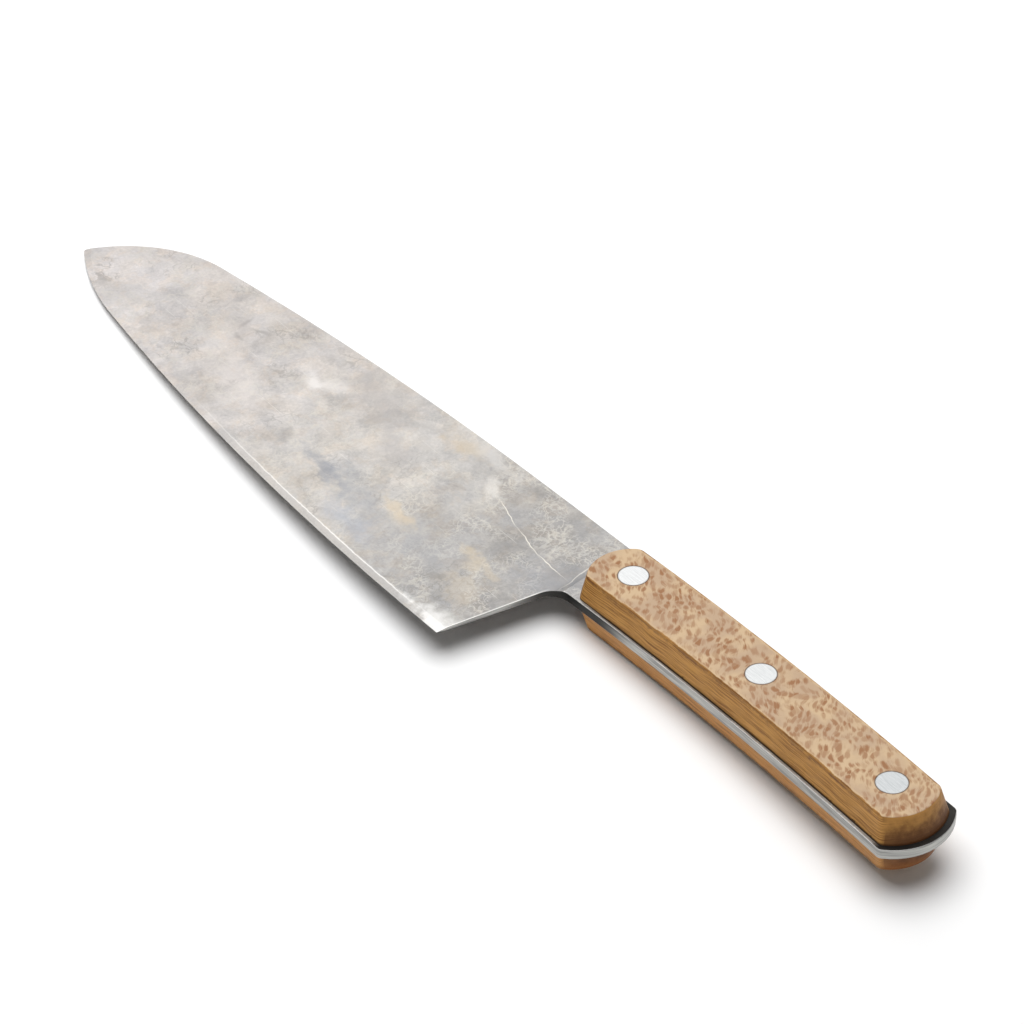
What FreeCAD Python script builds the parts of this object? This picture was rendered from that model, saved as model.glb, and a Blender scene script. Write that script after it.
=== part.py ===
import FreeCAD, Part
import math
import os
import Sketcher

# Full-tang chef's knife lying on its side, in millimetres.
# +X runs towards the tip, +Y towards the cutting edge, +Z up through the flat of the blade.
# The origin is the middle of the whole outline, on the face that the lower scale rests on.

Vector = FreeCAD.Vector
CENTRE = 3
FLAT_TOLERANCE = 1e-4

# height and width of the grinding tools, well past the blade they cut
PLATEN_HEIGHT = 20.0
PLATEN_WIDTH = 240.0
# width of the ring cut away on each side of the cutting edge, and its turn past the tip, in degrees
BEVEL_RING = 6.0
PAST_TIP = 45.0
# how far a grinding tool runs along the blade
TOOL_RUN = "Sizes.overall_length"

doc = FreeCAD.newDocument("ChefKnife")

SIZES = {
    # the whole knife
    "overall_length": 346.5,
    "overall_width": 60.4,
    "handle_thickness": 17.0,
    # blade outline
    "blade_length": 209.0,
    "edge_radius": 1100.0,
    "edge_peak_from_heel": 30.4,
    "belly_curve_length": 32.3,
    "tip_lift": 21.1,
    "tip_radius": 1.0,
    "spine_drop_length": 33.9,
    "spine_radius": 1300.0,
    "spine_curve_length": 136.0,
    "heel_lean": 7.8,
    "choil_radius": 6.0,
    # tang outline
    "tang_thickness": 2.8,
    "tang_spine_radius": 3400.0,
    "tang_belly_radius": 1250.0,
    "tang_peak_from_butt": 66.5,
    "tang_butt_radius": 16.0,
    "tang_corner_radius": 2.0,
    "steel_arris_radius": 0.3,
    "tang_belly_proud": 1.0,
    # grind of the blade
    "ground_spine_thickness": 2.7,
    "ground_edge_thickness": 0.66,
    "ground_taper_angle": 0.06,
    "tip_taper_angle": 0.21,
    "tip_taper_length": 82.0,
    "plunge_from_heel": 2.5,
    "plunge_lean": 5.2,
    "plunge_wheel_radius": 10.0,
    "bevel_half_angle": 7.5,
    # scales, measured on the face that meets the tang
    "scale_width": 21.4,
    "scale_from_butt": 1.8,
    "scale_front_from_heel": 7.4,
    "scale_bow_radius": 1300.0,
    "scale_bow_peak_from_butt": 62.5,
    "scale_from_spine_line": 1.0,
    "scale_front_radius": 13.6,
    "scale_butt_radius": 14.7,
    "scale_corner_radius": 2.2,
    "end_apex_offset": 0.6,
    # how far the outer face is set in from that outline
    "side_draft": 1.55,
    "front_draft": 1.8,
    "butt_draft": 2.3,
    "outer_corner_radius": 3.0,
    "outer_arris_radius": 0.4,
    # rivets, the outer two measured from the ends of the scales
    "rear_rivet_inset": 14.3,
    "front_rivet_inset": 13.4,
    "rivet_line_offset": 0.4,
    "head_diameter": 8.0,
    "head_height": 1.6,
    "tube_diameter": 5.0,
    "pin_diameter": 3.0,
    "pin_chamfer": 0.4,
    "hole_clearance": 0.1,
    "counterbore_clearance": 0.1,
    "pin_clearance": 0.04,
    "shank_end_gap": 0.5,
}

RIVETS = ("rear", "middle", "front")


def make_sheet():
    """Spreadsheet of driving dimensions, one alias for each."""
    sheet = doc.addObject("Spreadsheet::Sheet", "Sizes")
    for row, (name, value) in enumerate(SIZES.items(), start=1):
        sheet.set(f"A{row}", name)
        sheet.set(f"B{row}", str(value))
        sheet.setAlias(f"B{row}", name)
    doc.recompute()
    return sheet


sheet = make_sheet()


def size(expression):
    """Value of an expression in the sheet's aliases."""
    return float(sheet.evalExpression(expression))


# Places that several pieces share, as expressions in the sheet's aliases.
BUTT_X = "(-Sizes.overall_length / 2)"
TIP_X = "(Sizes.overall_length / 2)"
SPINE_Y = "(-Sizes.overall_width / 2)"
EDGE_Y = "(Sizes.overall_width / 2)"
HEEL_X = f"({TIP_X} - Sizes.blade_length)"
HALF_TANG = "(Sizes.tang_thickness / 2)"
HALF_HANDLE = "(Sizes.handle_thickness / 2)"
EDGE_PEAK_X = f"({HEEL_X} + Sizes.edge_peak_from_heel)"
BELLY_START_X = f"({TIP_X} - Sizes.belly_curve_length)"
DROP_START_X = f"({TIP_X} - Sizes.spine_drop_length)"
SPINE_START_X = f"({DROP_START_X} - Sizes.spine_curve_length)"
TIP_CENTRE_X = f"({TIP_X} - Sizes.tip_radius)"
TIP_CENTRE_Y = f"({EDGE_Y} - Sizes.tip_lift)"
TANG_PEAK_X = f"({BUTT_X} + Sizes.tang_peak_from_butt)"
SCALE_BELLY_Y = f"({SPINE_Y} + Sizes.scale_from_spine_line + Sizes.scale_width)"
TANG_BELLY_Y = f"({SCALE_BELLY_Y} + Sizes.tang_belly_proud)"
TANG_SPINE_CENTRE_Y = f"({SPINE_Y} + Sizes.tang_spine_radius)"
TANG_BELLY_CENTRE_Y = f"({TANG_BELLY_Y} + Sizes.tang_belly_radius)"
TANG_BUTT_CENTRE_X = f"({BUTT_X} + Sizes.tang_butt_radius)"
BOW_X = f"({BUTT_X} + Sizes.scale_bow_peak_from_butt)"
BOW_Y = f"({SCALE_BELLY_Y} - Sizes.scale_width / 2 + Sizes.scale_bow_radius)"
SCALE_BUTT_X = f"({BUTT_X} + Sizes.scale_from_butt)"
SCALE_FRONT_X = f"({HEEL_X} - Sizes.scale_front_from_heel)"
REAR_RIVET_X = f"({SCALE_BUTT_X} + Sizes.rear_rivet_inset)"
FRONT_RIVET_X = f"({SCALE_FRONT_X} - Sizes.front_rivet_inset)"
RIVET_LINE_RADIUS = "(Sizes.scale_bow_radius + Sizes.rivet_line_offset)"
EDGE_CENTRE_Y = f"({EDGE_Y} - Sizes.edge_radius)"
EDGE_TURN = f"asin(({BELLY_START_X} - {EDGE_PEAK_X}) / Sizes.edge_radius)"


def bow_y(x_expression):
    """Height of the scales' bowed middle line at a place along X."""
    return f"({BOW_Y} - sqrt(Sizes.scale_bow_radius ^ 2 - ({x_expression} - {BOW_X}) ^ 2))"


def apex_y(x_expression):
    """Height of the apex of a round end, which lies a little nearer the spine than the middle line."""
    return f"({bow_y(x_expression)} - Sizes.end_apex_offset)"


def rivet_x(number):
    """Place along X of a rivet, counted from the butt and evenly spaced."""
    return f"({REAR_RIVET_X} + {number} * ({FRONT_RIVET_X} - {REAR_RIVET_X}) / {len(RIVETS) - 1})"


def rivet_y(number):
    """The rivets follow the bow of the handle, a little nearer the spine than its middle line."""
    return f"({BOW_Y} - sqrt({RIVET_LINE_RADIUS} ^ 2 - ({rivet_x(number)} - {BOW_X}) ^ 2))"


def make_body(label, x="0", y="0"):
    """A body drawn about the knife's mid-plane; its Placement lifts it off the resting face."""
    body = doc.addObject("PartDesign::Body", label)
    body.Label = label
    for axis, expression in (("x", x), ("y", y), ("z", HALF_HANDLE)):
        body.setExpression(f"Placement.Base.{axis}", expression)
    return body


def make_sketch(body, name, plane_role, offset=None):
    """A sketch on one of the body's own origin planes."""
    sketch = body.newObject("Sketcher::SketchObject", name)
    plane = next(f for f in body.Origin.OriginFeatures if f.Role == plane_role)
    sketch.AttachmentSupport = [(plane, "")]
    sketch.MapMode = "FlatFace"
    if offset:
        sketch.setExpression("AttachmentOffset", offset)
    doc.recompute()
    return sketch


def lift(height):
    """Attachment offset that raises a sketch by an expression's height."""
    return f"placement(vector(0; 0; {height}); rotation(vector(0; 0; 1); 0))"


def bind(sketch, kind, items, expression):
    """Add one dimension to a sketch and bind it to the sheet."""
    value = size(expression)
    if kind == "Angle":
        value = math.radians(value)
    index = sketch.addConstraint(Sketcher.Constraint(kind, *items, value))
    sketch.setExpression(f"Constraints[{index}]", expression)


def pin_point(sketch, item, point, x_expression, y_expression):
    """Fix a point of a sketch, measured from the sketch's origin."""
    bind(sketch, "DistanceX", (-1, 1, item, point), x_expression)
    bind(sketch, "DistanceY", (-1, 1, item, point), y_expression)


class Circle:
    """A circle that an outline follows: material lies inside it, or outside where hollow."""

    def __init__(self, x, y, radius, hollow=False):
        self.centre = Vector(x, y, 0)
        self.radius = radius
        self.hollow = hollow

    def point_towards(self, other):
        """Point of this circle nearest to another centre."""
        return self.centre + (other - self.centre).normalize() * self.radius


def corner_circle(first, second, radius, near):
    """Circle of a radius that rounds the corner of two circles near a point."""
    reach = [c.radius + (radius if c.hollow else -radius) for c in (first, second)]
    span = second.centre - first.centre
    gap = span.Length
    along = (reach[0] ** 2 - reach[1] ** 2 + gap ** 2) / (2 * gap)
    aside = math.sqrt(reach[0] ** 2 - along ** 2)
    unit = span.normalize()
    normal = Vector(-unit.y, unit.x, 0)
    centres = [first.centre + unit * along + normal * aside * sign for sign in (1, -1)]
    centre = min(centres, key=lambda c: c.distanceToPoint(near))
    return Circle(centre.x, centre.y, radius)


def touch_point(first, second):
    """Point where two circles that touch meet."""
    smaller, larger = sorted((first, second), key=lambda c: c.radius)
    return larger.point_towards(smaller.centre)


def add_arc(sketch, circle, start, end):
    """Arc of a circle from start to end, the short way round."""
    first = math.atan2(start.y - circle.centre.y, start.x - circle.centre.x)
    last = math.atan2(end.y - circle.centre.y, end.x - circle.centre.x)
    turn = (last - first + math.pi) % (2 * math.pi) - math.pi
    if turn < 0:
        first, last = last, first
    shape = Part.Circle(circle.centre, Vector(0, 0, 1), circle.radius)
    index = sketch.addGeometry(Part.ArcOfCircle(shape, first, first + abs(turn)), False)
    return index, (1, 2) if turn > 0 else (2, 1)


def add_loop(sketch, circles):
    """Closed run of arcs, each tangent to the next; returns the arcs' indices in order."""
    count = len(circles)
    meets = [touch_point(circles[i - 1], circles[i]) for i in range(count)]
    arcs = [add_arc(sketch, circles[i], meets[i], meets[(i + 1) % count]) for i in range(count)]
    for i, (index, ends) in enumerate(arcs):
        following, next_ends = arcs[(i + 1) % count]
        sketch.addConstraint(Sketcher.Constraint("Tangent", index, ends[1], following, next_ends[0]))
    return [index for index, ends in arcs]


def fix_circle(sketch, item, x_expression, y_expression, radius):
    """Bind an arc's centre and radius."""
    pin_point(sketch, item, CENTRE, x_expression, y_expression)
    bind(sketch, "Radius", (item,), radius)


def draw_scale_outline(sketch, side_inset, front_inset, butt_inset, corner_radius):
    """Outline of a scale: two bowed sides, round ends and four rounded corners."""
    front_radius = f"(Sizes.scale_front_radius - {front_inset})"
    butt_radius = f"(Sizes.scale_butt_radius - {butt_inset})"
    places = (
        (BOW_X, BOW_Y, f"(Sizes.scale_bow_radius + Sizes.scale_width / 2 - {side_inset})"),
        (f"({SCALE_FRONT_X} - {front_inset} - {front_radius})", apex_y(SCALE_FRONT_X), front_radius),
        (BOW_X, BOW_Y, f"(Sizes.scale_bow_radius - Sizes.scale_width / 2 + {side_inset})"),
        (f"({SCALE_BUTT_X} + {butt_inset} + {butt_radius})", apex_y(SCALE_BUTT_X), butt_radius),
    )
    spine, front, belly, butt = (Circle(size(x), size(y), size(radius)) for x, y, radius in places)
    belly.hollow = True
    circles = []
    for circle, following in ((spine, front), (front, belly), (belly, butt), (butt, spine)):
        near = scale_corner(front in (circle, following), belly in (circle, following))
        circles += [circle, corner_circle(circle, following, size(corner_radius), near)]
    arcs = add_loop(sketch, circles)
    for arc, place in zip(arcs[::2], places):
        fix_circle(sketch, arc, *place)
    for corner in arcs[1::2]:
        bind(sketch, "Radius", (corner,), corner_radius)


def scale_corner(at_front, at_belly):
    """Rough place of one corner of a scale."""
    end = SCALE_FRONT_X if at_front else SCALE_BUTT_X
    half = "Sizes.scale_width / 2" if at_belly else "-Sizes.scale_width / 2"
    return Vector(size(end), size(f"{apex_y(end)} + {half}"), 0)


def draw_rivet_circles(sketch, diameter):
    """One circle at each rivet."""
    for number in range(len(RIVETS)):
        centre = Vector(size(rivet_x(number)), size(rivet_y(number)), 0)
        index = sketch.addGeometry(Part.Circle(centre, Vector(0, 0, 1), size(diameter) / 2), False)
        pin_point(sketch, index, CENTRE, rivet_x(number), rivet_y(number))
        bind(sketch, "Diameter", (index,), diameter)


def cut_through(body, sketch, name):
    """Pocket through the whole body, both ways from the sketch."""
    pocket = body.newObject("PartDesign::Pocket", name)
    pocket.Profile = sketch
    pocket.Type = "ThroughAll"
    pocket.SideType = "Symmetric"
    doc.recompute()


def make_scale(label, side):
    """One handle scale; side is 1 above the tang and -1 below it."""
    body = make_body(label)
    inner_height = f"({side} * {HALF_TANG})"
    outer_height = f"({side} * {HALF_HANDLE})"
    base = make_sketch(body, label + "_base", "XY_Plane", lift(inner_height))
    draw_scale_outline(base, "0", "0", "0", "Sizes.scale_corner_radius")
    face = make_sketch(body, label + "_face", "XY_Plane", lift(outer_height))
    draw_scale_outline(
        face, "Sizes.side_draft", "Sizes.front_draft", "Sizes.butt_draft", "Sizes.outer_corner_radius"
    )
    doc.recompute()
    loft = body.newObject("PartDesign::AdditiveLoft", label + "_block")
    loft.Profile = base
    loft.Sections = [face]
    loft.Ruled = True
    doc.recompute()

    holes = make_sketch(body, label + "_holes", "XY_Plane", lift(outer_height))
    draw_rivet_circles(holes, "Sizes.tube_diameter + Sizes.hole_clearance")
    cut_through(body, holes, label + "_shank_holes")
    recesses = make_sketch(body, label + "_recesses", "XY_Plane", lift(outer_height))
    draw_rivet_circles(recesses, "Sizes.head_diameter + Sizes.counterbore_clearance")
    counterbores = body.newObject("PartDesign::Pocket", label + "_counterbores")
    counterbores.Profile = recesses
    counterbores.Type = "Length"
    counterbores.Reversed = side < 0
    counterbores.setExpression("Length", "Sizes.head_height")
    doc.recompute()

    arris = body.newObject("PartDesign::Fillet", label + "_arris")
    arris.Base = (counterbores, outline_edges(counterbores.Shape, size(outer_height)))
    arris.setExpression("Radius", "Sizes.outer_arris_radius")
    doc.recompute()
    return body


def outline_edges(shape, height):
    """Names of the outer edges of the flat face at one height."""
    face = max(
        (f for f in shape.Faces if is_level(f, height)),
        key=lambda f: f.BoundBox.DiagonalLength,
    )
    outer = face.OuterWire.Edges
    return [f"Edge{i}" for i, edge in enumerate(shape.Edges, 1) if any(edge.isSame(o) for o in outer)]


def is_level(face, height):
    """Whether a face is flat and lies at one height."""
    box = face.BoundBox
    return abs(box.ZMin - height) < FLAT_TOLERANCE and abs(box.ZMax - height) < FLAT_TOLERANCE


def point_on(circle, x, side):
    """Point of a circle at a place along X, on its +Y side or its -Y side."""
    rise = math.sqrt(circle.radius ** 2 - (x - circle.centre.x) ** 2)
    return Vector(x, circle.centre.y + side * rise, 0)


def tangent_circle(start, left, tip):
    """Circle that leaves another circle smoothly at a point and wraps round the tip's circle."""
    inward = (left.centre - start).normalize()
    reach = start - tip.centre
    radius = (tip.radius ** 2 - reach.dot(reach)) / (2 * (reach.dot(inward) + tip.radius))
    centre = start + inward * radius
    return Circle(centre.x, centre.y, radius)


def tang_circles():
    """Circles of the tang's outline, from its belly round the butt to its spine."""
    belly = Circle(size(TANG_PEAK_X), size(TANG_BELLY_CENTRE_Y), size("Sizes.tang_belly_radius"), hollow=True)
    butt = Circle(size(TANG_BUTT_CENTRE_X), size(apex_y(SCALE_BUTT_X)), size("Sizes.tang_butt_radius"))
    spine = Circle(size(TANG_PEAK_X), size(TANG_SPINE_CENTRE_Y), size("Sizes.tang_spine_radius"))
    radius = size("Sizes.tang_corner_radius")
    return {
        "tang_belly": belly,
        "belly_corner": corner_circle(belly, butt, radius, Vector(size(BUTT_X), size(TANG_BELLY_Y), 0)),
        "butt": butt,
        "spine_corner": corner_circle(butt, spine, radius, Vector(size(BUTT_X), size(SPINE_Y), 0)),
        "tang_spine": spine,
    }


def blade_circles(tang_spine):
    """Circles of the blade's outline, from its spine round the tip to its edge."""
    edge = Circle(size(EDGE_PEAK_X), size(EDGE_CENTRE_Y), size("Sizes.edge_radius"))
    tip = Circle(size(TIP_CENTRE_X), size(TIP_CENTRE_Y), size("Sizes.tip_radius"))
    start = point_on(tang_spine, size(SPINE_START_X), -1)
    centre = start + (tang_spine.centre - start).normalize() * size("Sizes.spine_radius")
    spine = Circle(centre.x, centre.y, size("Sizes.spine_radius"))
    return {
        "spine": spine,
        "drop": tangent_circle(point_on(spine, size(DROP_START_X), -1), spine, tip),
        "tip": tip,
        "belly": tangent_circle(point_on(edge, size(BELLY_START_X), 1), edge, tip),
        "edge": edge,
    }


def choil_circle(heel, tang_belly):
    """Circle that rounds the heel's line into the tang's belly, and the point where that line ends."""
    lean = math.radians(size("Sizes.heel_lean"))
    down = Vector(-math.sin(lean), -math.cos(lean), 0)
    radius = size("Sizes.choil_radius")
    beside_heel = heel + Vector(down.y, -down.x, 0) * radius
    from_centre = beside_heel - tang_belly.centre
    middle = from_centre.dot(down)
    reach = tang_belly.radius - radius
    run = math.sqrt(middle ** 2 - from_centre.dot(from_centre) + reach ** 2) - middle
    centre = beside_heel + down * run
    return Circle(centre.x, centre.y, radius, hollow=True), heel + down * run


def draw_blade_outline(sketch):
    """Blade and tang in one outline, from the choil round the butt, the spine and the tip to the heel."""
    tang = tang_circles()
    blade = blade_circles(tang["tang_spine"])
    heel = point_on(blade["edge"], size(HEEL_X), 1)
    choil, heel_foot = choil_circle(heel, tang["tang_belly"])
    circles = {"choil": choil, **tang, **blade}
    run = list(circles.values())
    meets = [heel_foot, *(touch_point(a, b) for a, b in zip(run, run[1:])), heel]
    arcs = [add_arc(sketch, circle, meets[i], meets[i + 1]) for i, circle in enumerate(run)]
    for (item, ends), (following, next_ends) in zip(arcs, arcs[1:]):
        sketch.addConstraint(Sketcher.Constraint("Tangent", item, ends[1], following, next_ends[0]))
    heel_line = sketch.addGeometry(Part.LineSegment(heel, heel_foot), False)
    last, last_ends = arcs[-1]
    first, first_ends = arcs[0]
    sketch.addConstraint(Sketcher.Constraint("Coincident", last, last_ends[1], heel_line, 1))
    sketch.addConstraint(Sketcher.Constraint("Tangent", heel_line, 2, first, first_ends[0]))
    bind(sketch, "Angle", (heel_line,), "-90 - Sizes.heel_lean")
    bind_blade_outline(sketch, dict(zip(circles, arcs)))


def bind_blade_outline(sketch, arcs):
    """Bind the outline's arcs, each given as its index and the numbers of its two ends."""
    item = {name: index for name, (index, ends) in arcs.items()}
    fix_circle(sketch, item["tang_spine"], TANG_PEAK_X, TANG_SPINE_CENTRE_Y, "Sizes.tang_spine_radius")
    fix_circle(sketch, item["tang_belly"], TANG_PEAK_X, TANG_BELLY_CENTRE_Y, "Sizes.tang_belly_radius")
    fix_circle(sketch, item["butt"], TANG_BUTT_CENTRE_X, apex_y(SCALE_BUTT_X), "Sizes.tang_butt_radius")
    fix_circle(sketch, item["edge"], EDGE_PEAK_X, EDGE_CENTRE_Y, "Sizes.edge_radius")
    fix_circle(sketch, item["tip"], TIP_CENTRE_X, TIP_CENTRE_Y, "Sizes.tip_radius")
    bind(sketch, "Radius", (item["spine"],), "Sizes.spine_radius")
    bind(sketch, "Radius", (item["choil"],), "Sizes.choil_radius")
    bind(sketch, "Radius", (item["spine_corner"],), "Sizes.tang_corner_radius")
    bind(sketch, "Radius", (item["belly_corner"],), "Sizes.tang_corner_radius")
    for name, end, place in (
        ("spine", 0, SPINE_START_X),
        ("drop", 0, DROP_START_X),
        ("edge", 0, BELLY_START_X),
        ("edge", 1, HEEL_X),
    ):
        bind(sketch, "DistanceX", (-1, 1, item[name], arcs[name][1][end]), place)


def vector(x, y, z):
    """Expression for a vector."""
    return f"vector({x}; {y}; {z})"


def grinding_turn(side, taper):
    """Turn of a grinding tool that rests on a flank: leaning like the plunge line, tilted to the grind."""
    drop = "(Sizes.ground_spine_thickness - Sizes.ground_edge_thickness) / 2"
    grind = f"{-side} * atan({drop} / Sizes.overall_width)"
    tilt = f"rotation({vector(1, 0, 0)}; {grind}) * rotation({vector(0, 1, 0)}; {side} * {taper})"
    return f"{tilt} * rotation({vector(0, 0, 1)}; Sizes.plunge_lean)"


def check_cut(body, before, name):
    """Stop if a cut took nothing off the body."""
    if body.Shape.Volume >= before:
        raise RuntimeError(name + " cut nothing")


def draw_platen(sketch, side):
    """Profile of a flat platen that starts square across the flank."""
    top = str(side * PLATEN_HEIGHT)
    draw_polygon(sketch, (("0", "0"), (TOOL_RUN, "0"), (TOOL_RUN, top), ("0", top)))


def draw_wheel_and_platen(sketch, side):
    """Profile of a contact wheel that runs out of the flank, and of the platen that leaves it smoothly."""
    radius = "Sizes.plunge_wheel_radius"
    level = f"{side} * {radius}"
    top = str(side * PLATEN_HEIGHT)
    points = (("0", "0"), (TOOL_RUN, "0"), (TOOL_RUN, top), (f"-{radius}", top), (f"-{radius}", level))
    corners = [Vector(size(x), size(y), 0) for x, y in points]
    lines = [sketch.addGeometry(Part.LineSegment(a, b), False) for a, b in zip(corners, corners[1:])]
    wheel = Circle(0, size(level), size(radius))
    arc, ends = add_arc(sketch, wheel, corners[-1], corners[0])
    for line, next_line in zip(lines, lines[1:]):
        sketch.addConstraint(Sketcher.Constraint("Coincident", line, 2, next_line, 1))
    sketch.addConstraint(Sketcher.Constraint("Coincident", lines[-1], 2, arc, ends[0]))
    sketch.addConstraint(Sketcher.Constraint("Coincident", arc, ends[1], lines[0], 1))
    for line, place in zip(lines, points):
        pin_point(sketch, line, 1, *place)
    pin_point(sketch, lines[-1], 2, *points[-1])
    bind(sketch, "Radius", (arc,), radius)


def grind_flank(body, name, side, start_x, height, taper, draw_tool):
    """Grind one side of the blade from a line across it forwards; the tool's profile runs along the blade."""
    start = vector(start_x, SPINE_Y, f"{side} * {height}")
    turn = f"{grinding_turn(side, taper)} * rotation({vector(1, 0, 0)}; 90)"
    sketch = make_sketch(body, name + "_profile", "XY_Plane", f"placement({start}; {turn})")
    draw_tool(sketch, side)
    doc.recompute()
    before = body.Shape.Volume
    cut = body.newObject("PartDesign::Pocket", name)
    cut.Profile = sketch
    cut.SideType = "Symmetric"
    cut.Length = PLATEN_WIDTH
    doc.recompute()
    check_cut(body, before, name)


def draw_polygon(sketch, points):
    """Closed run of straight lines through points given as pairs of expressions."""
    corners = [Vector(size(x), size(y), 0) for x, y in points]
    following = corners[1:] + corners[:1]
    lines = [sketch.addGeometry(Part.LineSegment(a, b), False) for a, b in zip(corners, following)]
    for line, next_line, point in zip(lines, lines[1:] + lines[:1], points):
        sketch.addConstraint(Sketcher.Constraint("Coincident", line, 2, next_line, 1))
        pin_point(sketch, line, 1, *point)


def grind_bevel(body, name, centre_x, centre_y, radius, sweep, towards_tip):
    """Bevel both sides of the steel to the cutting edge along one arc, as cones about its centre."""
    plane = f"placement(vector({centre_y}; 0; {centre_x}); rotation({vector(0, 1, 0)}; -{EDGE_TURN}))"
    sketch = make_sketch(body, name + "_profile", "YZ_Plane", plane)
    inner = f"({radius} - {BEVEL_RING})"
    outer = f"({radius} + {BEVEL_RING})"
    shoulder = f"({BEVEL_RING} * tan(Sizes.bevel_half_angle))"
    points = (
        (radius, "0"),
        (inner, shoulder),
        (inner, str(BEVEL_RING)),
        (outer, str(BEVEL_RING)),
        (outer, str(-BEVEL_RING)),
        (inner, str(-BEVEL_RING)),
        (inner, f"-{shoulder}"),
    )
    draw_polygon(sketch, points)
    doc.recompute()
    before = body.Shape.Volume
    groove = body.newObject("PartDesign::Groove", name)
    groove.Profile = sketch
    groove.ReferenceAxis = (sketch, ["V_Axis"])
    groove.Reversed = towards_tip
    groove.setExpression("Angle", sweep)
    doc.recompute()
    check_cut(body, before, name)


def grind_blade(body):
    """Both flanks with their tip taper and plunge, then the cutting edge."""
    plunge_x = f"({HEEL_X} - Sizes.plunge_from_heel)"
    taper_x = f"({TIP_X} - Sizes.tip_taper_length)"
    half_spine = "(Sizes.ground_spine_thickness / 2)"
    taper_height = f"({half_spine} - ({taper_x} - {plunge_x}) * tan(Sizes.ground_taper_angle))"
    flank_taper = "Sizes.ground_taper_angle"
    tip_taper = "Sizes.tip_taper_angle"
    for name, side in (("upper", 1), ("lower", -1)):
        grind_flank(body, name + "_flank", side, plunge_x, half_spine, flank_taper, draw_wheel_and_platen)
        grind_flank(body, name + "_tip_taper", side, taper_x, taper_height, tip_taper, draw_platen)

    # the arc that leaves the long edge smoothly and runs round to the tip
    joint_y = f"({EDGE_CENTRE_Y} + Sizes.edge_radius * cos({EDGE_TURN}))"
    back_x = f"({BELLY_START_X} - {TIP_CENTRE_X})"
    back_y = f"({joint_y} - {TIP_CENTRE_Y})"
    inward = f"(-{back_x} * sin({EDGE_TURN}) - {back_y} * cos({EDGE_TURN}))"
    belly_radius = (
        f"((Sizes.tip_radius ^ 2 - {back_x} ^ 2 - {back_y} ^ 2) / (2 * ({inward} + Sizes.tip_radius)))"
    )
    belly_x = f"({BELLY_START_X} - {belly_radius} * sin({EDGE_TURN}))"
    belly_y = f"({joint_y} - {belly_radius} * cos({EDGE_TURN}))"
    heel_turn = f"asin((Sizes.edge_peak_from_heel + {BEVEL_RING}) / Sizes.edge_radius)"
    grind_bevel(
        body, "long_edge", EDGE_PEAK_X, EDGE_CENTRE_Y, "Sizes.edge_radius", f"{EDGE_TURN} + {heel_turn}", False
    )
    grind_bevel(body, "belly_edge", belly_x, belly_y, belly_radius, str(PAST_TIP), True)


def level_edges(shape, half):
    """Names of the edges round the two flat faces of a plate that is centred on its mid-plane."""
    boxes = [edge.BoundBox for edge in shape.Edges]
    return [
        f"Edge{number}"
        for number, box in enumerate(boxes, 1)
        if box.ZLength < FLAT_TOLERANCE and abs(abs(box.ZMax) - half) < FLAT_TOLERANCE
    ]


def make_blade():
    """Blade and full tang in one piece of steel."""
    body = make_body("blade_full_tang")
    outline = make_sketch(body, "blade_outline", "XY_Plane")
    draw_blade_outline(outline)
    doc.recompute()
    blank = body.newObject("PartDesign::Pad", "blade_blank")
    blank.Profile = outline
    blank.SideType = "Symmetric"
    blank.setExpression("Length", "Sizes.tang_thickness")
    doc.recompute()
    arris = body.newObject("PartDesign::Fillet", "blank_arris")
    arris.Base = (blank, level_edges(blank.Shape, size(HALF_TANG)))
    arris.setExpression("Radius", "Sizes.steel_arris_radius")
    doc.recompute()
    grind_blade(body)
    holes = make_sketch(body, "tang_holes_outline", "XY_Plane")
    draw_rivet_circles(holes, "Sizes.tube_diameter + Sizes.hole_clearance")
    cut_through(body, holes, "tang_holes")
    return body


def turn_profile(body, name, points):
    """Turn a closed profile of (radius, height) expressions about the body's own axis."""
    sketch = make_sketch(body, name + "_profile", "XZ_Plane")
    draw_polygon(sketch, points)
    doc.recompute()
    turned = body.newObject("PartDesign::Revolution", name)
    turned.Profile = sketch
    turned.ReferenceAxis = (sketch, ["V_Axis"])
    turned.Angle = 360
    doc.recompute()


def make_rivet_male(number, place):
    """Upper half of a cutler's rivet: a flush head on a solid pin."""
    label = f"{place}_rivet_male"
    body = make_body(label, rivet_x(number), rivet_y(number))
    underside = f"({HALF_HANDLE} - Sizes.head_height)"
    pin_end = f"(-{underside} + Sizes.shank_end_gap)"
    pin = "(Sizes.pin_diameter / 2)"
    turn_profile(body, label + "_turned", (
        ("0", HALF_HANDLE),
        ("0", pin_end),
        (f"{pin} - Sizes.pin_chamfer", pin_end),
        (pin, f"{pin_end} + Sizes.pin_chamfer"),
        (pin, underside),
        ("Sizes.head_diameter / 2", underside),
        ("Sizes.head_diameter / 2", HALF_HANDLE),
    ))
    return body


def make_rivet_female(number, place):
    """Lower half of a cutler's rivet: a flush head on a tube that takes the other half's pin."""
    label = f"{place}_rivet_female"
    body = make_body(label, rivet_x(number), rivet_y(number))
    underside = f"(-{HALF_HANDLE} + Sizes.head_height)"
    tube_end = f"(-{underside} - Sizes.shank_end_gap)"
    bore = "(Sizes.pin_diameter / 2 + Sizes.pin_clearance / 2)"
    turn_profile(body, label + "_turned", (
        ("0", f"-{HALF_HANDLE}"),
        ("Sizes.head_diameter / 2", f"-{HALF_HANDLE}"),
        ("Sizes.head_diameter / 2", underside),
        ("Sizes.tube_diameter / 2", underside),
        ("Sizes.tube_diameter / 2", tube_end),
        (bore, tube_end),
        (bore, underside),
        ("0", underside),
    ))
    return body


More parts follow.
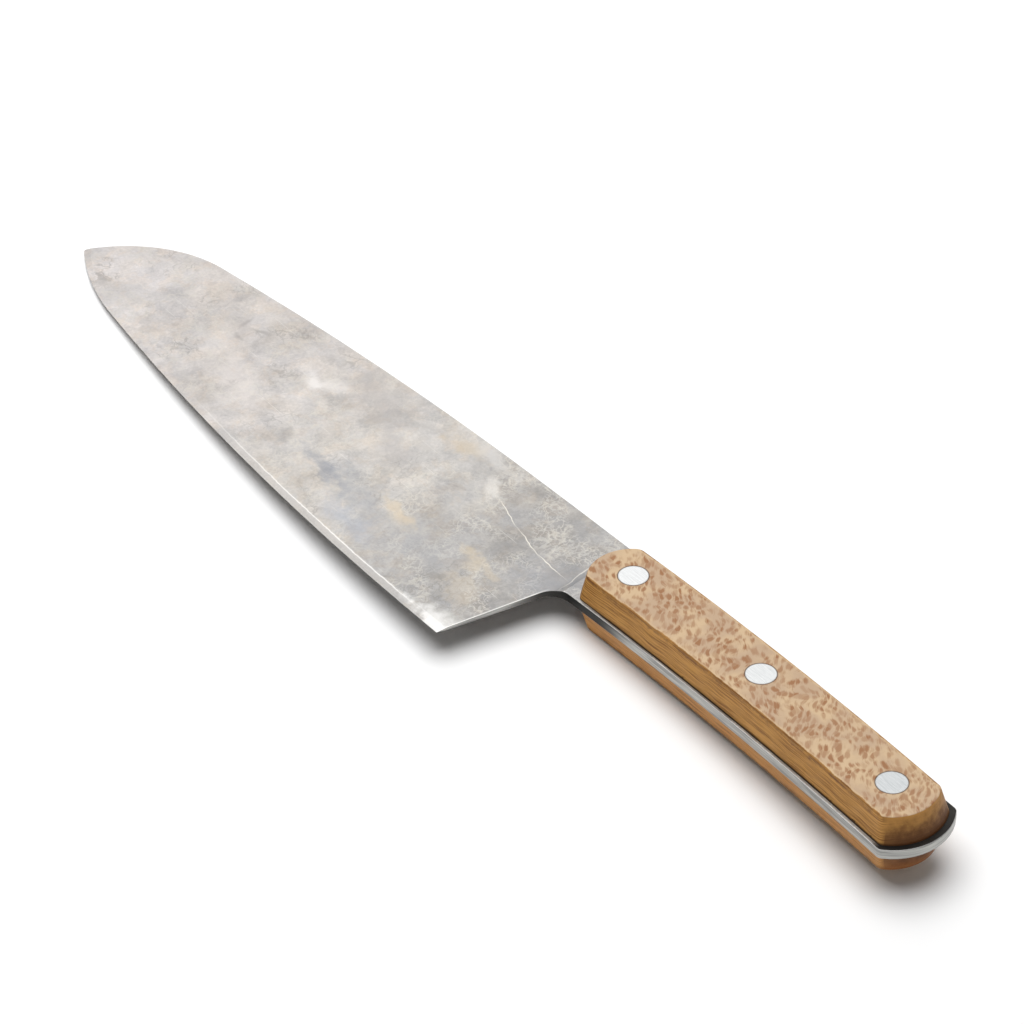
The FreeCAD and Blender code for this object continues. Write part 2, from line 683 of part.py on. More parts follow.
def check_document():
    """Stop if any object failed to build."""
    for item in doc.Objects:
        if "Invalid" in item.State or "Error" in item.State:
            raise RuntimeError(f"{item.Name} failed: {item.State}")


def write_part(body):
    """Check one sub-part's solid and write its STEP file."""
    shape = body.Shape
    if shape.isNull() or not shape.isValid() or len(shape.Solids) != 1:
        raise RuntimeError(body.Label + " is not one valid solid")
    shape.exportStep(f"parts/{body.Label}.step")
    print(f"{body.Label}: {shape.Volume:.1f} mm3")


bodies = [make_blade(), make_scale("upper_scale", 1), make_scale("lower_scale", -1)]
for number, place in enumerate(RIVETS):
    bodies.append(make_rivet_male(number, place))
    bodies.append(make_rivet_female(number, place))
doc.recompute()
check_document()
os.makedirs("parts", exist_ok=True)
for body in bodies:
    write_part(body)
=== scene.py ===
"""Chef's knife with a full tang: finishes, floor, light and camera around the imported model."""

import logging
import math
from dataclasses import dataclass, field
from enum import Enum
from typing import Any

import bpy
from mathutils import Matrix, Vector


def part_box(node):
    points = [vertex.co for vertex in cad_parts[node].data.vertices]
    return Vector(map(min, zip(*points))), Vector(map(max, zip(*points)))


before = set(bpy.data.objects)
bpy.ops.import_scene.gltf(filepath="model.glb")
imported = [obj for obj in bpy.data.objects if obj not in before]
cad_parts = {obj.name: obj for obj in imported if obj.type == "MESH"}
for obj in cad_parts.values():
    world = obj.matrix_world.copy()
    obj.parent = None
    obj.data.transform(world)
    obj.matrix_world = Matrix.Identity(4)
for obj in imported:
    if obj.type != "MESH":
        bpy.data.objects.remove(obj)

LOG = logging.getLogger("chef_knife")
MM = 0.001
PER_METRE = 1.0 / MM  # coordinates are turned to millimetres, so every pattern scale is per millimetre
ENDLESS = 1000.0  # a size that leaves a pattern unchanged through the knife's thickness
SMOOTH = {"interpolation_type": "SMOOTHSTEP"}  # setting of a Map Range node
IN_COLOUR = {"data_type": "RGBA"}  # setting of a Mix node
LOW, HIGH, TO_LOW, TO_HIGH = 1, 2, 3, 4  # inputs of a Map Range node after its value
UNDER, OVER, MIXED = 6, 7, 2  # colour inputs and colour output of a Mix node
Point = tuple[float, float, float]
Colour = tuple[float, float, float, float]
Socket = bpy.types.NodeSocket


class Place(Enum):
    """Where a rivet sits along the handle."""

    REAR = "rear"
    MIDDLE = "middle"
    FRONT = "front"


class Side(Enum):
    """Which side of the tang a scale lies on."""

    UPPER = "upper"
    LOWER = "lower"


def linear(hex_code: str) -> Colour:
    """Turn an sRGB hex colour into the linear values that a shader takes.

    Args:
        hex_code: Six hex digits after a hash.

    Returns:
        Linear red, green, blue and an alpha of one.
    """
    shares = [int(hex_code[i : i + 2], 16) / 255.0 for i in (1, 3, 5)]
    values = [s / 12.92 if s <= 0.04045 else ((s + 0.055) / 1.055) ** 2.4 for s in shares]
    return (values[0], values[1], values[2], 1.0)


class Recipe:
    """A material while its nodes are wired, and the object's coordinates in millimetres."""

    def __init__(self, name: str) -> None:
        """Start a material.

        Args:
            name: Real material and its finish.
        """
        self.material = bpy.data.materials.new(name)
        self.material.use_nodes = True
        self.material.node_tree.nodes.clear()
        metres = self.add("TexCoord", output="Object")
        self.point = self.add("VectorMath", {0: metres, "Scale": PER_METRE}, operation="SCALE")
        self.x = self.add("SeparateXYZ", {0: self.point}, output="X")
        self.y = self.add("SeparateXYZ", {0: self.point}, output="Y")
        self.z = self.add("SeparateXYZ", {0: self.point}, output="Z")
        self.plan = self.add("VectorMath", {0: self.point, 1: (1.0, 1.0, 0.0)}, operation="MULTIPLY")
        self.grain = self.plan  # where the patterns are read, which a finish may shift

    def add(
        self, kind: str, inputs: dict[str | int, Any] | None = None, output: str | int = 0, **settings: Any
    ) -> Socket | None:
        """Add one node with its settings and links.

        Args:
            kind: The node's type, without its "ShaderNode" beginning.
            inputs: A value, or the socket that drives it, for each named or numbered input.
            output: Name or number of the output that is wanted.
            settings: Attributes of the node.

        Returns:
            The wanted output, or None from a node that has none.
        """
        node = self.material.node_tree.nodes.new("ShaderNode" + kind)
        for name, value in settings.items():
            setattr(node, name, value)
        for key, value in (inputs or {}).items():
            if isinstance(value, Socket):
                self.material.node_tree.links.new(value, node.inputs[key])
            else:
                node.inputs[key].default_value = value
        return node.outputs[output] if node.outputs else None

    def finish(self, surface: Socket) -> bpy.types.Material:
        """Take a shader as the material's surface.

        Args:
            surface: The shader's output.

        Returns:
            The finished material.
        """
        self.add("OutputMaterial", {"Surface": surface})
        return self.material


@dataclass(frozen=True)
class Mark:
    """One stain, polished spot, pit or scratch on the flat of the blade: a frayed ellipse.

    Lengths are in millimetres and the turn is in degrees. The fray is how ragged the border is,
    and the softness is how wide it is, as a share of the mark's size.
    """

    at: tuple[float, float]
    half_length: float
    half_width: float
    turn: float
    colour: str
    strength: float
    fray: float = 2.2
    softness: float = 1.05

    def lay(self, recipe: Recipe, bent: Socket, rag: Socket, colour: Socket) -> Socket:
        """Lay the mark over a colour.

        Args:
            recipe: The material.
            bent: Position in the plane of the blade, bent a little so that no mark is straight.
            rag: Noise that frays the mark's border.
            colour: Colour under the mark.

        Returns:
            The colour with the mark on it.
        """
        local = recipe.add(
            "Mapping",
            {
                "Vector": bent,
                "Location": (*self.at, 0.0),
                "Rotation": (0.0, 0.0, math.radians(self.turn)),
                "Scale": (self.half_length, self.half_width, ENDLESS),
            },
            vector_type="TEXTURE",
        )
        reach = recipe.add("VectorMath", {0: local}, "Value", operation="LENGTH")
        frayed = recipe.add("Math", {0: rag, 1: self.fray, 2: reach}, operation="MULTIPLY_ADD")
        border = 0.5 * self.fray + 1.15
        limits = {0: frayed, LOW: border - self.softness, HIGH: border, TO_LOW: self.strength, TO_HIGH: 0.0}
        share = recipe.add("MapRange", limits, **SMOOTH)
        return recipe.add("Mix", {0: share, UNDER: colour, OVER: linear(self.colour)}, MIXED, **IN_COLOUR)


@dataclass(frozen=True)
class Arc:
    """A circle that a border of the knife follows, in millimetres."""

    centre: Point
    radius: float


@dataclass(frozen=True)
class WornCarbonSteel:
    """Belt-ground carbon steel that use has clouded to a patina, with a bright hand-honed edge.

    It reads as dull silver, warm and pale towards the tip and cool and darker towards the heel, partly
    patina and partly painted reflection, with tan stains, hair scratches and a few pits, and a clean pale
    band along the cutting edge.
    Lengths are in millimetres. The far shift moves the patterns on the far flank, which would mirror
    the near one without it. The bevel fades out between two places along the knife.
    """

    edge: Arc
    belly: Arc
    grip: Arc
    belly_start: float
    heel: Point
    heel_normal: Point
    grip_front: float
    butt: float
    spine: float
    tip: float
    marks: tuple[Mark, ...]
    mid_height: float
    far_shift: Point = (-37.0, 11.0, 0.0)
    bevel_width: float = 2.4
    bevel_fade: tuple[float, float] = (40.0, 100.0)
    crazed_past_heel: float = 13.0
    crazed_height: float = 17.0
    choil_before_heel: float = 13.0
    choil_height: float = -8.0
    # widths of the painted shade in the gap along the wood and on the ledge behind the butt
    wood_shade_width: float = 0.4
    butt_shade_length: float = 11.0

    def build(self) -> bpy.types.Material:
        """Wire the steel's material.

        Returns:
            The material.
        """
        r = Recipe("carbon_steel_worn_patina")
        far_flank = r.add("Math", {0: r.z, 1: self.mid_height}, operation="LESS_THAN")
        r.grain = r.add(
            "VectorMath", {0: far_flank, 1: self.far_shift, 2: r.plan}, operation="MULTIPLY_ADD"
        )
        along = r.add("MapRange", {0: r.x, LOW: self.heel[0], HIGH: self.tip}, clamp=True)
        mottling = {"Vector": r.grain, "Scale": 1 / 13, "Detail": 9.0, "Roughness": 0.66, "Distortion": 0.5}
        clouds = r.add("TexNoise", mottling)
        speck = r.add("TexNoise", {"Vector": r.grain, "Scale": 1 / 0.9, "Detail": 3.0, "Roughness": 0.6})
        colour = self.patina(r, along, clouds, speck)
        colour = self.flakes(r, colour, 7.0, 21.0, (1.02, 0.985, 0.945, 1.0))
        colour = self.flakes(r, colour, 9.0, 33.0, (0.89, 0.895, 0.905, 1.0))
        colour = self.flakes(r, colour, 4.0, 47.0, (1.07, 1.065, 1.06, 1.0))
        colour = self.crazed_patches(r, colour)
        colour = self.lay_marks(r, colour)
        hair = self.hair_scratches(r)
        colour = r.add("Mix", {0: hair, UNDER: colour, OVER: linear("#dedbd5")}, MIXED, **IN_COLOUR)
        bevel, shoulder = self.bevel(r)
        # partly painted reflection: the honed band is darker at the heel and paler towards the tip
        honed = r.add(
            "Mix", {0: along, UNDER: linear("#9c9996"), OVER: linear("#d0ccc8")}, MIXED, **IN_COLOUR
        )
        grit = r.add("MapRange", {0: speck, TO_LOW: 0.8, TO_HIGH: 1.2})
        honed = r.add("VectorMath", {0: honed, "Scale": grit}, operation="SCALE")
        colour = r.add("Mix", {0: bevel, UNDER: colour, OVER: honed}, MIXED, **IN_COLOUR)
        colour = r.add("Mix", {0: shoulder, UNDER: colour, OVER: linear("#eeedea")}, MIXED, **IN_COLOUR)
        colour = self.heel_highlight(r, colour)
        colour = self.painted_gap_shade(r, colour)
        colour = self.side_faces(r, colour)
        rough = r.add("MapRange", {0: clouds, LOW: 0.3, HIGH: 0.7, TO_LOW: 0.36, TO_HIGH: 0.5})
        relief = r.add("Math", {0: speck, 1: 0.6, 2: hair}, operation="MULTIPLY_ADD")
        bump = r.add("Bump", {"Height": relief, "Strength": 0.2, "Distance": 0.02 * MM})
        inputs = {"Base Color": colour, "Metallic": 1.0, "Roughness": rough, "Normal": bump}
        return r.finish(r.add("BsdfPrincipled", inputs))

    def patina(self, r: Recipe, along: Socket, clouds: Socket, speck: Socket) -> Socket:
        """Clouded ground colour, warmer and paler towards the tip: partly patina, partly painted reflection
        of the brighter light the flank shows there.

        Args:
            r: The material.
            along: Place along the blade, nought at the heel and one at the tip.
            clouds: Coarse mottling.
            speck: Fine mottling.

        Returns:
            The colour.
        """
        # partly painted reflection: the flank lightens from heel to tip
        early = r.add("MapRange", {0: along, LOW: 0.0, HIGH: 0.35}, **SMOOTH)
        late = r.add("MapRange", {0: along, LOW: 0.3, HIGH: 0.62}, **SMOOTH)
        last = r.add("MapRange", {0: along, LOW: 0.66, HIGH: 0.95}, **SMOOTH)
        colour = r.add(
            "Mix", {0: early, UNDER: linear("#9b9997"), OVER: linear("#bbb7b3")}, MIXED, **IN_COLOUR
        )
        colour = r.add("Mix", {0: late, UNDER: colour, OVER: linear("#c1bcb9")}, MIXED, **IN_COLOUR)
        colour = r.add("Mix", {0: last, UNDER: colour, OVER: linear("#cdc8c6")}, MIXED, **IN_COLOUR)
        warm = r.add(
            "TexNoise", {"Vector": r.grain, "W": 4.0, "Scale": 1 / 10, "Detail": 8.0}, noise_dimensions="4D"
        )
        warm = r.add("MapRange", {0: warm, LOW: 0.4, HIGH: 0.6}, **SMOOTH)
        tints = {0: warm, UNDER: (0.985, 0.993, 1.005, 1.0), OVER: (1.012, 1.0, 0.98, 1.0)}
        tint = r.add("Mix", tints, MIXED, **IN_COLOUR)
        colour = r.add(
            "Mix", {0: 1.0, UNDER: colour, OVER: tint}, MIXED, **IN_COLOUR, blend_type="MULTIPLY"
        )
        coarse = r.add("MapRange", {0: clouds, LOW: 0.3, HIGH: 0.7, TO_LOW: 0.84, TO_HIGH: 1.14})
        fine = r.add("MapRange", {0: speck, LOW: 0.3, HIGH: 0.7, TO_LOW: 0.93, TO_HIGH: 1.07})
        shade = r.add("Math", {0: coarse, 1: fine}, operation="MULTIPLY")
        return r.add("VectorMath", {0: colour, "Scale": shade}, operation="SCALE")

    def flakes(self, r: Recipe, colour: Socket, size: float, seed: float, tint: Colour) -> Socket:
        """Ragged patches where the patina has thinned or thickened, with crisp borders.

        Args:
            r: The material.
            colour: Colour under the patches.
            size: Size of a patch in millimetres.
            seed: Number that tells one set of patches from another.
            tint: What the colour is multiplied by in a patch.

        Returns:
            The colour with the patches.
        """
        noise = {
            "Vector": r.grain,
            "W": seed,
            "Scale": 1 / size,
            "Detail": 10.0,
            "Roughness": 0.72,
            "Distortion": 0.4,
        }
        ragged = r.add("TexNoise", noise, noise_dimensions="4D")
        share = r.add("MapRange", {0: ragged, LOW: 0.5, HIGH: 0.56, TO_LOW: 0.0, TO_HIGH: 0.85}, **SMOOTH)
        return r.add(
            "Mix", {0: share, UNDER: colour, OVER: tint}, MIXED, **IN_COLOUR, blend_type="MULTIPLY"
        )

    def crazed_patches(self, r: Recipe, colour: Socket) -> Socket:
        """Crazing in its three kinds of place: pale patches, dark stains and the flank by the heel.

        Args:
            r: The material.
            colour: Colour under the lines.

        Returns:
            The colour with the lines.
        """
        patches = {"Vector": r.grain, "W": 9.0, "Scale": 1 / 11, "Detail": 3.0}
        pale = r.add("TexNoise", patches, noise_dimensions="4D")
        pale = r.add("MapRange", {0: pale, LOW: 0.42, HIGH: 0.6}, **SMOOTH)
        colour = self.crazing(r, colour, pale, 5.0, "#cfc9be")
        colour = self.crazing(r, colour, pale, 2.3, "#c6c3bd")
        patches = {"Vector": r.grain, "W": 15.0, "Scale": 1 / 15, "Detail": 4.0}
        stained = r.add("TexNoise", patches, noise_dimensions="4D")
        stained = r.add("MapRange", {0: stained, LOW: 0.5, HIGH: 0.65}, **SMOOTH)
        colour = self.crazing(r, colour, stained, 4.3, "#8d8985")
        centre = (self.heel[0] + self.crazed_past_heel, self.crazed_height, 0.0)
        from_centre = r.add("VectorMath", {0: r.plan, 1: centre}, "Value", operation="DISTANCE")
        by_heel = r.add(
            "MapRange", {0: from_centre, LOW: 5.0, HIGH: 15.0, TO_LOW: 1.0, TO_HIGH: 0.0}, **SMOOTH
        )
        return self.crazing(r, colour, by_heel, 3.6, "#7f7b75")

    def lay_marks(self, r: Recipe, colour: Socket) -> Socket:
        """Lay the single marks over the patina.

        Args:
            r: The material.
            colour: Colour under the marks.

        Returns:
            The colour with the marks.
        """
        wander = r.add("TexNoise", {"Vector": r.grain, "Scale": 1 / 7, "Detail": 3.0}, "Color")
        bent = r.add("VectorMath", {0: wander, 1: (2.4, 2.4, 0.0), 2: r.grain}, operation="MULTIPLY_ADD")
        bent = r.add("VectorMath", {0: bent, 1: (1.2, 1.2, 0.0)}, operation="SUBTRACT")
        rag = r.add("TexNoise", {"Vector": r.grain, "Scale": 1 / 5, "Detail": 7.0, "Roughness": 0.65})
        for mark in self.marks:
            colour = mark.lay(r, bent, rag, colour)
        return colour

    def crazing(self, r: Recipe, colour: Socket, where: Socket, size: float, hex_code: str) -> Socket:
        """Fine wandering lines where the patina has crazed, drawn 0.15 mm wide so that they show.

        Args:
            r: The material.
            colour: Colour under the lines.
            where: Share of the lines that shows at a place.
            size: Distance between lines in millimetres.
            hex_code: Colour of the lines.

        Returns:
            The colour with the lines.
        """
        wander = r.add("TexNoise", {"Vector": r.grain, "Scale": 0.8 / size, "Detail": 5.0}, "Color")
        bent = r.add(
            "VectorMath",
            {0: wander, 1: (3.0 * size, 3.0 * size, 0.0), 2: r.grain},
            operation="MULTIPLY_ADD",
        )
        cells = r.add("TexVoronoi", {"Vector": bent, "Scale": 1 / size}, feature="DISTANCE_TO_EDGE")
        limits = {0: cells, LOW: 0.05 / size, HIGH: 0.25 / size, TO_LOW: 0.42, TO_HIGH: 0.0}
        lines = r.add("MapRange", limits, **SMOOTH)
        share = r.add("Math", {0: lines, 1: where}, operation="MULTIPLY")
        return r.add("Mix", {0: share, UNDER: colour, OVER: linear(hex_code)}, MIXED, **IN_COLOUR)

    def hair_scratches(self, r: Recipe) -> Socket:
        """Hair scratches along and across the blade, drawn 0.15 mm wide so that they show.

        Args:
            r: The material.

        Returns:
            Strength of the scratches.
        """
        total = None
        for turn, seed in ((8.0, 2.0), (62.0, 6.0)):
            turned = (0.0, 0.0, math.radians(turn))
            inputs = {"Vector": r.grain, "Rotation": turned, "Scale": (1 / 22, 1 / 0.45, 1.0)}
            squeezed = r.add("Mapping", inputs)
            lines = r.add(
                "TexNoise",
                {"Vector": squeezed, "W": seed, "Scale": 1.0, "Detail": 1.0},
                noise_dimensions="4D",
            )
            lines = r.add(
                "MapRange", {0: lines, LOW: 0.7, HIGH: 0.76, TO_LOW: 0.0, TO_HIGH: 0.45}, **SMOOTH
            )
            total = lines if total is None else r.add("Math", {0: total, 1: lines}, operation="MAXIMUM")
        return total

    def bevel(self, r: Recipe) -> tuple[Socket, Socket]:
        """Honed band along the cutting edge, and the bright line where it meets the flank.

        Args:
            r: The material.

        Returns:
            Strength of the band, and of the line.
        """
        distances = []
        for arc in (self.edge, self.belly):
            reach = r.add("VectorMath", {0: r.plan, 1: arc.centre}, "Value", operation="DISTANCE")
            distances.append(r.add("Math", {0: arc.radius, 1: reach}, operation="SUBTRACT"))
        on_belly = r.add("Math", {0: r.x, 1: self.belly_start}, operation="GREATER_THAN")
        distance = r.add("Mix", {0: on_belly, 2: distances[0], 3: distances[1]}, data_type="FLOAT")
        nicks = r.add(
            "TexNoise", {"Vector": r.plan, "W": 2.0, "Scale": 1 / 2.5, "Detail": 4.0}, noise_dimensions="4D"
        )
        ragged = r.add("Math", {0: nicks, 1: 0.7, 2: distance}, operation="MULTIPLY_ADD")
        off_heel = r.add("MapRange", {0: r.x, LOW: self.heel[0] + 6.0, HIGH: self.heel[0] + 26.0}, **SMOOTH)
        start, end = self.bevel_fade
        off_tip = r.add("MapRange", {0: r.x, LOW: start, HIGH: end, TO_LOW: 1.0, TO_HIGH: 0.0}, **SMOOTH)
        fade = r.add("Math", {0: off_heel, 1: off_tip}, operation="MULTIPLY")
        width = self.bevel_width
        band = r.add(
            "MapRange",
            {0: ragged, LOW: width - 0.2, HIGH: width + 0.2, TO_LOW: 0.75, TO_HIGH: 0.0},
            **SMOOTH,
        )
        rise = r.add("MapRange", {0: ragged, LOW: width - 0.25, HIGH: width + 0.05}, **SMOOTH)
        fall = r.add(
            "MapRange", {0: ragged, LOW: width, HIGH: width + 0.4, TO_LOW: 0.6, TO_HIGH: 0.0}, **SMOOTH
        )
        line = r.add("Math", {0: rise, 1: fall}, operation="MULTIPLY")
        band = r.add("Math", {0: band, 1: fade}, operation="MULTIPLY")
        return band, r.add("Math", {0: line, 1: fade}, operation="MULTIPLY")

    def heel_highlight(self, r: Recipe, colour: Socket) -> Socket:
        """Painted highlight: a bright line where the flank meets the side of the heel.

        Args:
            r: The material.
            colour: Colour of the flanks.

        Returns:
            The colour with the line.
        """
        local = r.add("VectorMath", {0: r.plan, 1: self.heel}, operation="SUBTRACT")
        inside = r.add("VectorMath", {0: local, 1: self.heel_normal}, "Value", operation="DOT_PRODUCT")
        inside = r.add("Math", {0: inside}, operation="ABSOLUTE")
        line = r.add("MapRange", {0: inside, LOW: 0.15, HIGH: 0.55, TO_LOW: 0.6, TO_HIGH: 0.0}, **SMOOTH)
        limits = {0: r.y, LOW: self.choil_height + 4.0, HIGH: self.choil_height + 10.0}
        off_choil = r.add("MapRange", limits, **SMOOTH)
        line = r.add("Math", {0: line, 1: off_choil}, operation="MULTIPLY")
        # painted highlight along the corner of the heel
        return r.add("Mix", {0: line, UNDER: colour, OVER: linear("#efeeeb")}, MIXED, **IN_COLOUR)

    def painted_gap_shade(self, r: Recipe, colour: Socket) -> Socket:
        """Painted shade on the flat of the tang, along the wood and behind its butt end, where the gap
        under the wood lies in shadow.

        Args:
            r: The material.
            colour: Colour of the flanks.

        Returns:
            The colour with the painted shade.
        """
        reach = r.add("VectorMath", {0: r.plan, 1: self.grip.centre}, "Value", operation="DISTANCE")
        limits = {0: reach, LOW: self.grip.radius - self.wood_shade_width, HIGH: self.grip.radius - 0.1}
        by_wood = r.add("MapRange", limits, **SMOOTH)
        end = self.grip_front - 8.0
        limits = {0: r.x, LOW: end - 8.0, HIGH: end, TO_LOW: 1.0, TO_HIGH: 0.0}
        under_grip = r.add("MapRange", limits, **SMOOTH)
        by_wood = r.add("Math", {0: by_wood, 1: under_grip}, operation="MULTIPLY")
        end = self.butt + self.butt_shade_length
        limits = {0: r.x, LOW: end - 5.0, HIGH: end, TO_LOW: 1.0, TO_HIGH: 0.0}
        by_butt = r.add("MapRange", limits, **SMOOTH)
        off_spine = r.add("MapRange", {0: r.y, LOW: self.spine + 3.0, HIGH: self.spine + 7.0}, **SMOOTH)
        by_butt = r.add("Math", {0: by_butt, 1: off_spine}, operation="MULTIPLY")
        share = r.add("Math", {0: by_wood, 1: by_butt}, operation="MAXIMUM")
        share = r.add("Math", {0: share, 1: 0.95}, operation="MULTIPLY")
        # painted shade: near-black colour in the shadowed gap along the wood and behind the butt
        return r.add("Mix", {0: share, UNDER: colour, OVER: linear("#1b1917")}, MIXED, **IN_COLOUR)

    def side_faces(self, r: Recipe, colour: Socket) -> Socket:
        """Brushed darker steel on the spine, the heel and the sides of the tang, with painted shade near
        the choil and a painted highlight on the rounded arrises.

        Args:
            r: The material.
            colour: Colour of the flanks.

        Returns:
            The colour of the whole blade.
        """
        upright = r.add("SeparateXYZ", {0: r.add("NewGeometry", output="Normal")}, "Z")
        upright = r.add("Math", {0: upright}, operation="ABSOLUTE")
        flank = r.add("MapRange", {0: upright, LOW: 0.8, HIGH: 0.97}, **SMOOTH)
        arris_highlight = r.add("MapRange", {0: upright, LOW: 0.25, HIGH: 0.7}, **SMOOTH)
        squeezed = r.add("Mapping", {"Vector": r.point, "Scale": (1 / 12, 1 / 12, 1 / 0.4)})
        brushed = r.add("TexNoise", {"Vector": squeezed, "Scale": 1.0, "Detail": 3.0})
        brushed = r.add("MapRange", {0: brushed, LOW: 0.35, HIGH: 0.65})
        side = r.add(
            "Mix", {0: brushed, UNDER: linear("#8b8b89"), OVER: linear("#b8b8b4")}, MIXED, **IN_COLOUR
        )
        # painted shade: the sides near the choil are darkened almost to black, for the shadowed floor they
        # reflect
        choil = (self.heel[0] - self.choil_before_heel, self.choil_height, 0.0)
        from_choil = r.add("VectorMath", {0: r.plan, 1: choil}, "Value", operation="DISTANCE")
        choil_shade = r.add(
            "MapRange", {0: from_choil, LOW: 8.0, HIGH: 24.0, TO_LOW: 0.93, TO_HIGH: 0.0}, **SMOOTH
        )
        side = r.add("Mix", {0: choil_shade, UNDER: side, OVER: linear("#1f1e1d")}, MIXED, **IN_COLOUR)
        # painted highlight: the rounded arrises between flank and side are lightened to a pale line
        side = r.add("Mix", {0: arris_highlight, UNDER: side, OVER: linear("#d9d8d5")}, MIXED, **IN_COLOUR)
        return r.add("Mix", {0: flank, UNDER: side, OVER: colour}, MIXED, **IN_COLOUR)


@dataclass(frozen=True)
class ScaleShape:
    """Where a scale's surfaces lie, in millimetres, for marks that follow its borders."""

    face_height: float
    seam_height: float
    bow_centre: Point
    belly_border: float
    spine_border: float
    rivet_centres: tuple[Point, ...]
    head_radius: float


@dataclass(frozen=True)
class OiledLacewood:
    """Oiled lacewood, quarter-sawn on the broad faces and belt-sanded to shape.

    The broad faces show pinkish ray flecks in a pale ground; the sides show fine lengthwise grain
    in a deeper golden brown, scorched along the corners where the belt ran hot.
    """

    name: str
    shape: ScaleShape
    side_dark: str
    side_light: str
    end_dark: str
    end_light: str
    shift: Point

    def build(self) -> bpy.types.Material:
        """Wire the wood's material.

        Returns:
            The material.
        """
        r = Recipe(self.name)
        r.grain = r.add("VectorMath", {0: r.plan, 1: self.shift}, operation="ADD")
        rag = r.add("TexNoise", {"Vector": r.point, "Scale": 1 / 2.2, "Detail": 5.0, "Roughness": 0.6})
        normal = r.add("NewGeometry", output="Normal")
        upright = r.add("Math", {0: r.add("SeparateXYZ", {0: normal}, "Z")}, operation="ABSOLUTE")
        face = r.add("MapRange", {0: upright, LOW: 0.55, HIGH: 0.85}, **SMOOTH)
        top = self.flecks(r, rag)
        top, chipped = self.border(r, top)
        face = r.add("Math", {0: face, 1: chipped}, operation="MULTIPLY")
        colour = r.add("Mix", {0: face, UNDER: self.side(r, rag, normal), OVER: top}, MIXED, **IN_COLOUR)
        colour = self.rivet_gap_shade(r, colour)
        fibres = r.add("Mapping", {"Vector": r.point, "Scale": (1 / 6, 1 / 0.25, 1 / 0.25)})
        grain = r.add("TexNoise", {"Vector": fibres, "Scale": 1.0, "Detail": 3.0})
        bump = r.add("Bump", {"Height": grain, "Strength": 0.35, "Distance": 0.05 * MM})
        rough = r.add("MapRange", {0: rag, LOW: 0.3, HIGH: 0.7, TO_LOW: 0.42, TO_HIGH: 0.6})
        inputs = {
            "Base Color": colour,
            "Roughness": rough,
            "IOR": 1.48,
            "Specular IOR Level": 0.35,
            "Normal": bump,
        }
        return r.finish(r.add("BsdfPrincipled", inputs))

    def flecks(self, r: Recipe, rag: Socket) -> Socket:
        """Ray flecks of the broad faces.

        Args:
            r: The material.
            rag: Noise that frays borders.

        Returns:
            The colour.
        """
        wander = r.add("TexNoise", {"Vector": r.grain, "Scale": 1 / 9, "Detail": 2.0}, "Color")
        bent = r.add("VectorMath", {0: wander, 1: (6.0, 6.0, 0.0), 2: r.grain}, operation="MULTIPLY_ADD")
        turn = (0.0, 0.0, math.radians(140.0))
        cell = r.add(
            "Mapping",
            {"Vector": bent, "Rotation": turn, "Scale": (2.5, 1.3, ENDLESS)},
            vector_type="TEXTURE",
        )
        fibre = r.add(
            "Mapping",
            {"Vector": bent, "Rotation": turn, "Scale": (2.2, 0.35, ENDLESS)},
            vector_type="TEXTURE",
        )
        reach = r.add("TexVoronoi", {"Vector": cell, "Scale": 1.0}, "Distance", feature="F1")
        chance = r.add("TexVoronoi", {"Vector": cell, "Scale": 1.0}, "Color", feature="F1")
        brush = r.add("TexNoise", {"Vector": fibre, "Scale": 1.0, "Detail": 2.0})
        frayed = r.add("Math", {0: brush, 1: 0.7, 2: reach}, operation="MULTIPLY_ADD")
        frayed = r.add("Math", {0: rag, 1: 0.4, 2: frayed}, operation="MULTIPLY_ADD")
        fleck = r.add("MapRange", {0: frayed, LOW: 0.84, HIGH: 1.24, TO_LOW: 1.0, TO_HIGH: 0.0}, **SMOOTH)
        depth = r.add("SeparateXYZ", {0: chance}, "X")
        depth = r.add("MapRange", {0: depth, LOW: 0.0, HIGH: 0.9, TO_LOW: 0.4, TO_HIGH: 1.0})
        share = r.add("Math", {0: fleck, 1: depth}, operation="MULTIPLY")
        patches = r.add(
            "TexNoise", {"Vector": r.grain, "W": 5.0, "Scale": 1 / 8, "Detail": 4.0}, noise_dimensions="4D"
        )
        pale = r.add("MapRange", {0: patches, LOW: 0.4, HIGH: 0.62}, **SMOOTH)
        ground = r.add(
            "Mix", {0: pale, UNDER: linear("#b99d80"), OVER: linear("#c9ad89")}, MIXED, **IN_COLOUR
        )
        return r.add("Mix", {0: share, UNDER: ground, OVER: linear("#986a43")}, MIXED, **IN_COLOUR)

    def border(self, r: Recipe, colour: Socket) -> tuple[Socket, Socket]:
        """Chipped border of the broad face along the two long corners, with a painted highlight as a pale
        line just inside it.

        Args:
            r: The material.
            colour: Colour of the broad face.

        Returns:
            The colour with its painted highlight, and nought where the corner has chipped away.
        """
        reach = r.add("VectorMath", {0: r.plan, 1: self.shape.bow_centre}, "Value", operation="DISTANCE")
        belly = r.add("Math", {0: reach, 1: self.shape.belly_border}, operation="SUBTRACT")
        spine = r.add("Math", {0: self.shape.spine_border, 1: reach}, operation="SUBTRACT")
        inset = r.add("Math", {0: belly, 1: spine}, operation="MINIMUM")
        chips = r.add("TexNoise", {"Vector": r.point, "Scale": 1 / 5, "Detail": 6.0, "Roughness": 0.7})
        ragged = r.add("Math", {0: chips, 1: 1.5, 2: inset}, operation="MULTIPLY_ADD")
        chipped = r.add("MapRange", {0: ragged, LOW: 0.95, HIGH: 1.15}, **SMOOTH)
        # painted highlight: pale line along the border of the broad face
        border_highlight = r.add("MapRange", {0: ragged, LOW: 1.15, HIGH: 1.8, TO_LOW: 0.55, TO_HIGH: 0.0}, **SMOOTH)
        return r.add("Mix", {0: border_highlight, UNDER: colour, OVER: linear("#d0b389")}, MIXED, **IN_COLOUR), chipped

